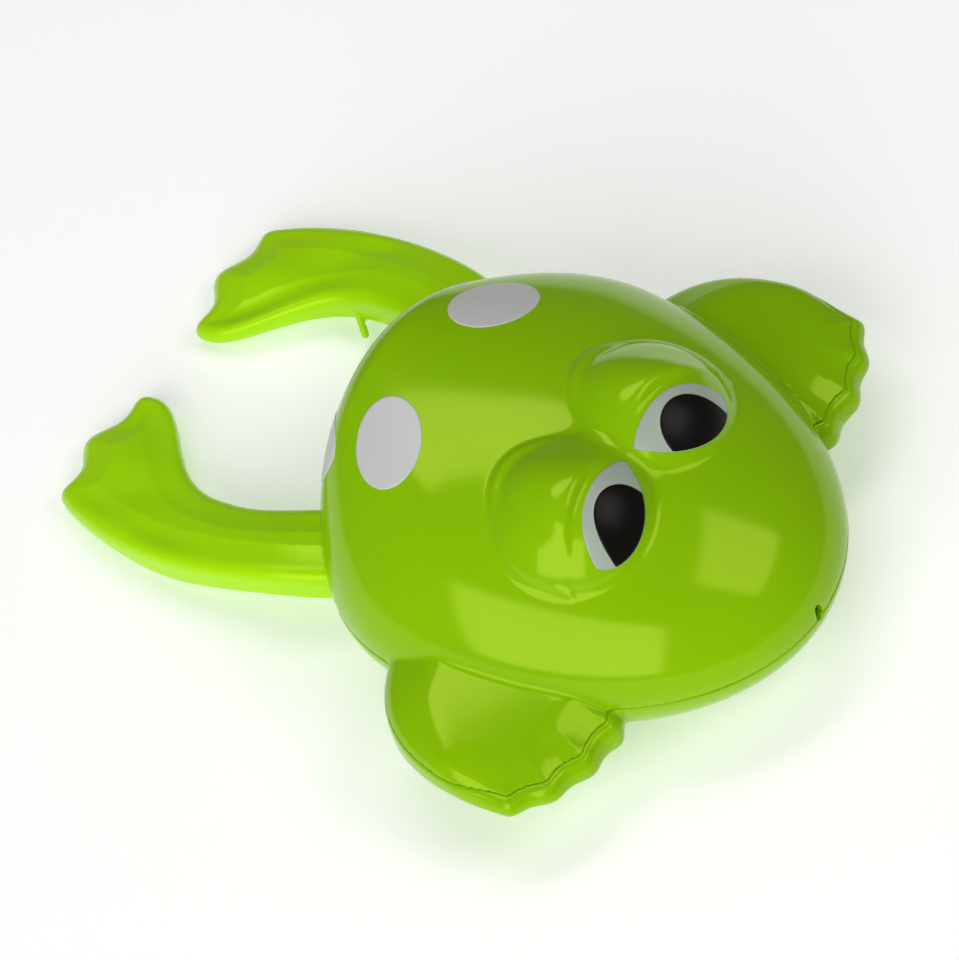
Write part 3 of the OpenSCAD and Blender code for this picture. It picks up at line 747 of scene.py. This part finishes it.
finishes = {
    "bodyPlastic": {
        "color": (0.26, 0.53, 0.002), "deep": (0.20, 0.46, 0.002), "amount": 0.35, "roughness": 0.10,
        "spread": 0.05, "scratches": 0.25, "bump": 0.06, "tint": (1.0, 1.0, 0.15), "soft": 0.06,
    },
    # Lighter copy of the body green, painted light: the brighter base colour stands in for light shining
    # through the thin legs; the winding grip wears it too
    "legPlasticPaintedGlow": {
        "color": (0.42, 0.82, 0.003), "deep": (0.36, 0.74, 0.002), "amount": 0.35, "roughness": 0.2,
        "spread": 0.08, "scratches": 0.3, "bump": 0.08, "tint": (1.0, 1.0, 0.15), "soft": 0.08,
    },
    "whitePrint": {
        "color": (0.60, 0.61, 0.59), "deep": (0.55, 0.56, 0.54), "amount": 0.3, "roughness": 0.32,
        "spread": 0.1, "scratches": 0.5, "bump": 0.05,
    },
    "eyeWhite": {
        "color": (0.38, 0.44, 0.37), "deep": (0.34, 0.40, 0.33), "amount": 0.3, "roughness": 0.28,
        "spread": 0.1, "scratches": 0.4, "bump": 0.05,
    },
    "blackPrint": {
        "color": (0.004, 0.003, 0.002), "deep": (0.008, 0.006, 0.005), "amount": 0.5, "roughness": 0.26,
        "spread": 0.1, "scratches": 0.5, "bump": 0.05, "sheen": 0.14,
    },
    "naturalAcetal": {
        "color": (0.80, 0.78, 0.70), "deep": (0.72, 0.69, 0.60), "amount": 0.5, "roughness": 0.42,
        "spread": 0.12, "scratches": 0.6, "bump": 0.15, "soft": 0.1,
    },
    "drawnSteel": {
        "color": (0.52, 0.53, 0.55), "deep": (0.40, 0.41, 0.43), "amount": 0.6, "roughness": 0.28,
        "spread": 0.15, "scratches": 1.0, "bump": 0.2, "metallic": 1.0,
    },
    "sealRubber": {
        "color": (0.02, 0.02, 0.021), "deep": (0.035, 0.034, 0.033), "amount": 0.6, "roughness": 0.6,
        "spread": 0.15, "scratches": 0.3, "bump": 0.3,
    },
}


def makeFinish(name, spec):
    material = bpy.data.materials.new(name)
    material.use_nodes = True
    nodes, links = material.node_tree.nodes, material.node_tree.links
    shader = nodes["Principled BSDF"]
    tint = nodes.new("ShaderNodeGroup")
    tint.node_tree = mouldTint
    tint.inputs["Color"].default_value = (*spec["color"], 1)
    tint.inputs["Deep"].default_value = (*spec["deep"], 1)
    tint.inputs["Amount"].default_value = spec["amount"]
    marks = nodes.new("ShaderNodeGroup")
    marks.node_tree = handlingMarks
    marks.inputs["Roughness"].default_value = spec["roughness"]
    marks.inputs["Spread"].default_value = spec["spread"]
    marks.inputs["Scratches"].default_value = spec["scratches"]
    bump = nodes.new("ShaderNodeBump")
    bump.inputs["Strength"].default_value = spec["bump"]
    bump.inputs["Distance"].default_value = 0.0002
    links.new(tint.outputs["Color"], shader.inputs["Base Color"])
    links.new(marks.outputs["Roughness"], shader.inputs["Roughness"])
    links.new(marks.outputs["Height"], bump.inputs["Height"])
    links.new(bump.outputs["Normal"], shader.inputs["Normal"])
    shader.inputs["Metallic"].default_value = spec.get("metallic", 0.0)
    shader.inputs["Specular IOR Level"].default_value = spec.get("sheen", 0.5)
    shader.inputs["Specular Tint"].default_value = (*spec.get("tint", (1, 1, 1)), 1)
    if "soft" in spec:
        shader.inputs["Subsurface Weight"].default_value = spec["soft"]
        shader.inputs["Subsurface Radius"].default_value = (1.0, 1.0, 0.3)
        shader.inputs["Subsurface Scale"].default_value = 0.002
    return material


material = {name: makeFinish(name, spec) for name, spec in finishes.items()}


def finish(piece, name):
    piece.data.materials.clear()
    piece.data.materials.append(material[name])


# Outer pieces
def placePiece(piece, bodyName, node, finishName):
    finish(piece, finishName)
    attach(piece, bodyName)
    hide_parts(node)


cell = 0.4
placePiece(fieldPiece("backShell", upperField, (-59, -58, -2), (59, 34, 31), cell),
           "hull", "upper_shell", "bodyPlastic")
placePiece(fieldPiece("bellyShell", lowerField, (-59, -58, -18), (59, 34, 3), cell),
           "hull", "lower_shell", "bodyPlastic")
for side, sign in (("left", 1), ("right", -1)):
    low, high = sorted((sign * 1, sign * 42))
    made = fieldPiece(side + "HindLeg", lambda x, y, z: legField(sign * x, y, z),
                      (low, 7, -18), (high, 83, 1.5), cell)
    placePiece(made, side + "_kicker", side + "_leg", "legPlasticPaintedGlow")
placePiece(fieldPiece("windingGrip", knobField, (-8, arborY - 12, -17), (8, arborY + 12, -7), 0.35),
           "winder", "winding_knob", "legPlasticPaintedGlow")

for node, piece in makePrints().items():
    black = node.endswith("pupil")
    look = "blackPrint" if black else "eyeWhite" if "eye" in node else "whitePrint"
    placePiece(piece, "hull", node, look)

for node, name in {
    "leg_yoke": "naturalAcetal", "crank_disc": "naturalAcetal", "crank_arbor": "naturalAcetal",
    "second_wheel": "naturalAcetal", "great_wheel": "naturalAcetal", "motor_base": "naturalAcetal",
    "motor_cover": "naturalAcetal", "ratchet_click": "drawnSteel", "winding_arbor": "drawnSteel",
    "mainspring": "drawnSteel", "motor_screws": "drawnSteel", "shell_screws": "drawnSteel",
    "arbor_seal": "sealRubber",
}.items():
    finish(frame["nodes"][node], name)
print("pieces finished")


# Studio: pale floor, soft boxes and the camera
studio = {
    "floorSize": 6.0,
    "floorColor": (0.93, 0.93, 0.92),
    "floorGlow": 0.3,
    "boxes": (
        # name, centre, width, depth, power
        ("backSoftBox", (0.12, 0.20, 0.75), 0.62, 0.22, 1.5),
        ("noseSoftBox", (0.25, -0.50, 0.68), 0.45, 0.40, 1.5),
        ("sideFill", (-0.90, -0.30, 0.55), 1.00, 0.90, 9.0),
    ),
    "skyLow": 2.5,
    "skyHigh": 1.9,
}
view = {
    "azimuth": -44.6,
    "elevation": 53.2,
    "roll": -14.9,
    "distance": 1000.0,
    "across": -8.4,
    "up": 1.1,
    "lens": 232.86,
    "sensor": 36.0,
}


def makeFloor():
    side = studio["floorSize"] / 2
    steps = 4
    ticks = [-side + 2 * side * i / steps for i in range(steps + 1)]
    points = [(x, y, cadBox[0][2] - 0.0002) for x in ticks for y in ticks]
    row = steps + 1
    faces = [(i * row + j, (i + 1) * row + j, (i + 1) * row + j + 1, i * row + j + 1)
             for i in range(steps) for j in range(steps)]
    mesh = bpy.data.meshes.new("studioFloor")
    mesh.from_pydata(points, [], faces)
    floor = bpy.data.objects.new("studioFloor", mesh)
    bpy.context.scene.collection.objects.link(floor)
    paper = bpy.data.materials.new("studioPaper")
    paper.use_nodes = True
    nodes, links = paper.node_tree.nodes, paper.node_tree.links
    shader = nodes["Principled BSDF"]
    place = nodes.new("ShaderNodeTexCoord")
    fibre = noiseNode(nodes, links, place.outputs["Object"], 300.0, 4.0)
    shade = nodes.new("ShaderNodeMix")
    shade.data_type = "RGBA"
    shade.inputs["A"].default_value = (*studio["floorColor"], 1)
    shade.inputs["B"].default_value = (*[c * 0.985 for c in studio["floorColor"]], 1)
    links.new(fibre.outputs["Fac"], shade.inputs["Factor"])
    links.new(shade.outputs["Result"], shader.inputs["Base Color"])
    links.new(shade.outputs["Result"], shader.inputs["Emission Color"])
    shader.inputs["Emission Strength"].default_value = studio["floorGlow"]
    shader.inputs["Roughness"].default_value = 0.9
    shader.inputs["Specular IOR Level"].default_value = 0.1
    mesh.materials.append(paper)


def makeLights():
    aim = Vector((0, 0, 0.03))
    for name, centre, wide, deep, power in studio["boxes"]:
        light = bpy.data.lights.new(name, "AREA")
        light.shape = "RECTANGLE"
        light.size, light.size_y = wide, deep
        light.energy = power
        lamp = bpy.data.objects.new(name, light)
        lamp.location = centre
        lamp.rotation_euler = (aim - Vector(centre)).to_track_quat("-Z", "Y").to_euler()
        bpy.context.scene.collection.objects.link(lamp)
    world = bpy.data.worlds.new("studioSky")
    bpy.context.scene.world = world
    world.use_nodes = True
    nodes, links = world.node_tree.nodes, world.node_tree.links
    back = nodes["Background"]
    place = nodes.new("ShaderNodeTexCoord")
    split = nodes.new("ShaderNodeSeparateXYZ")
    links.new(place.outputs["Generated"], split.inputs["Vector"])
    fade = mapRange(nodes, links, split.outputs["Z"], 0.05, 0.75, studio["skyLow"], studio["skyHigh"])
    fade.interpolation_type = "SMOOTHSTEP"
    links.new(fade.outputs["Result"], back.inputs["Strength"])


def makeCamera():
    a, e, r = (math.radians(view[k]) for k in ("azimuth", "elevation", "roll"))
    back = Vector((math.sin(a) * math.cos(e), -math.cos(a) * math.cos(e), math.sin(e)))
    flat = Vector((math.cos(a), math.sin(a), 0))
    upright = back.cross(flat)
    right = math.cos(r) * flat + math.sin(r) * upright
    above = math.cos(r) * upright - math.sin(r) * flat
    spot = view["distance"] * back + view["across"] * right + view["up"] * above
    spot = (spot + Vector((0, bodyShift, seamZ))) * mm
    camera = bpy.data.cameras.new("studioCamera")
    camera.lens = view["lens"]
    camera.sensor_width = view["sensor"]
    camera.sensor_fit = "HORIZONTAL"
    camera.clip_start = 0.05
    rig = bpy.data.objects.new("studioCamera", camera)
    rig.matrix_world = Matrix((
        (right.x, above.x, back.x, spot.x),
        (right.y, above.y, back.y, spot.y),
        (right.z, above.z, back.z, spot.z),
        (0, 0, 0, 1),
    ))
    bpy.context.scene.collection.objects.link(rig)
    bpy.context.scene.camera = rig


makeFloor()
makeLights()
makeCamera()
bpy.context.scene.view_settings.view_transform = "Standard"
print("studio ready")
